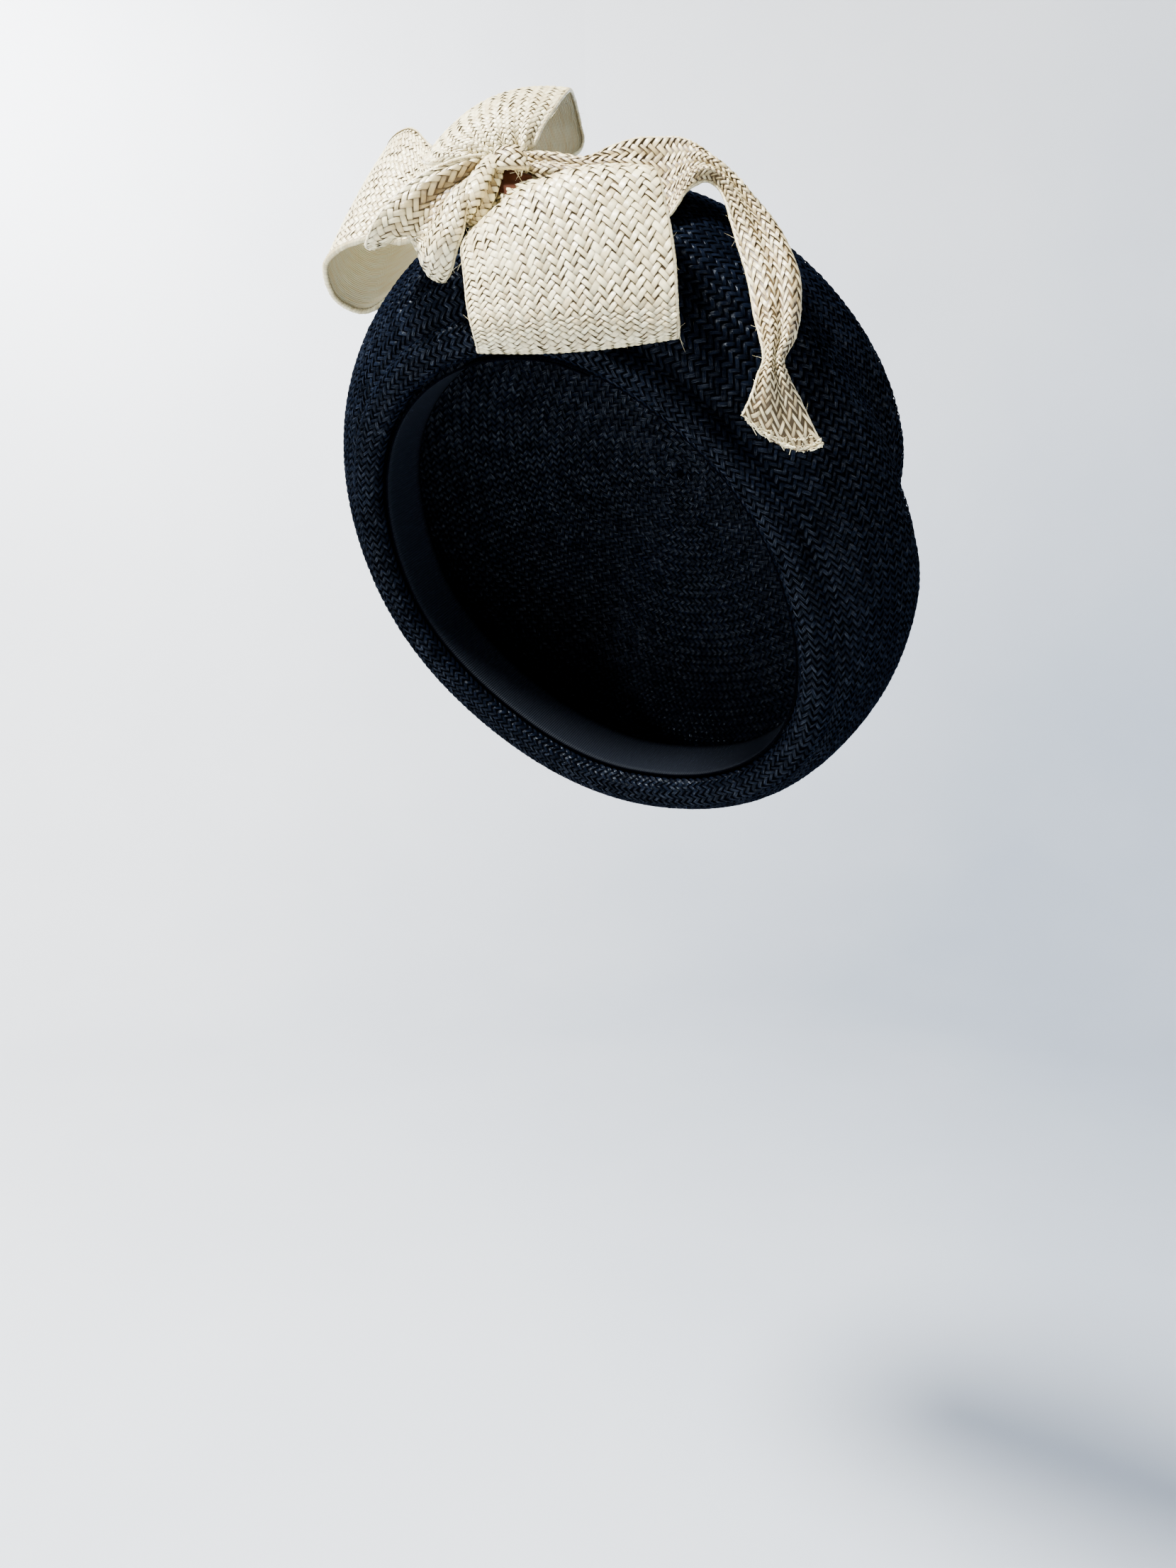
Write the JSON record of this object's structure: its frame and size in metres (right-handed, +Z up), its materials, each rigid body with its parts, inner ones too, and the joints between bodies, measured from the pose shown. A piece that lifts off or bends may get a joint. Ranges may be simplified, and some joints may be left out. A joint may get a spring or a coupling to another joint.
{
  "type": "straw beret",
  "caption": "Woven straw beret as worn, tilted, with a rolled rim, a soft side fold and a looped straw bow with a hanging tail.",
  "frame": {"origin": "middle of the head opening, in the plane of the rim", "axes": "+Z up as worn on an upright head, -Y the way the wearer faces, +X towards the wearer's left"},
  "size_m": [0.2696, 0.23, 0.3106],
  "materials": {
    "crown_straw": "near-black navy woven straw with a soft sheen",
    "head_ribbon": "ribbed ribbon, matt",
    "bow_straw": "ivory woven straw with a silky sheen"
  },
  "bodies": {
    "root": {"crown": "crown_straw", "sweatband": "head_ribbon", "front_loop": "bow_straw", "left_loop": "bow_straw", "top_loop": "bow_straw", "middle_loop": "bow_straw", "tail": "bow_straw", "knot": "bow_straw"}
  },
  "joints": []
}
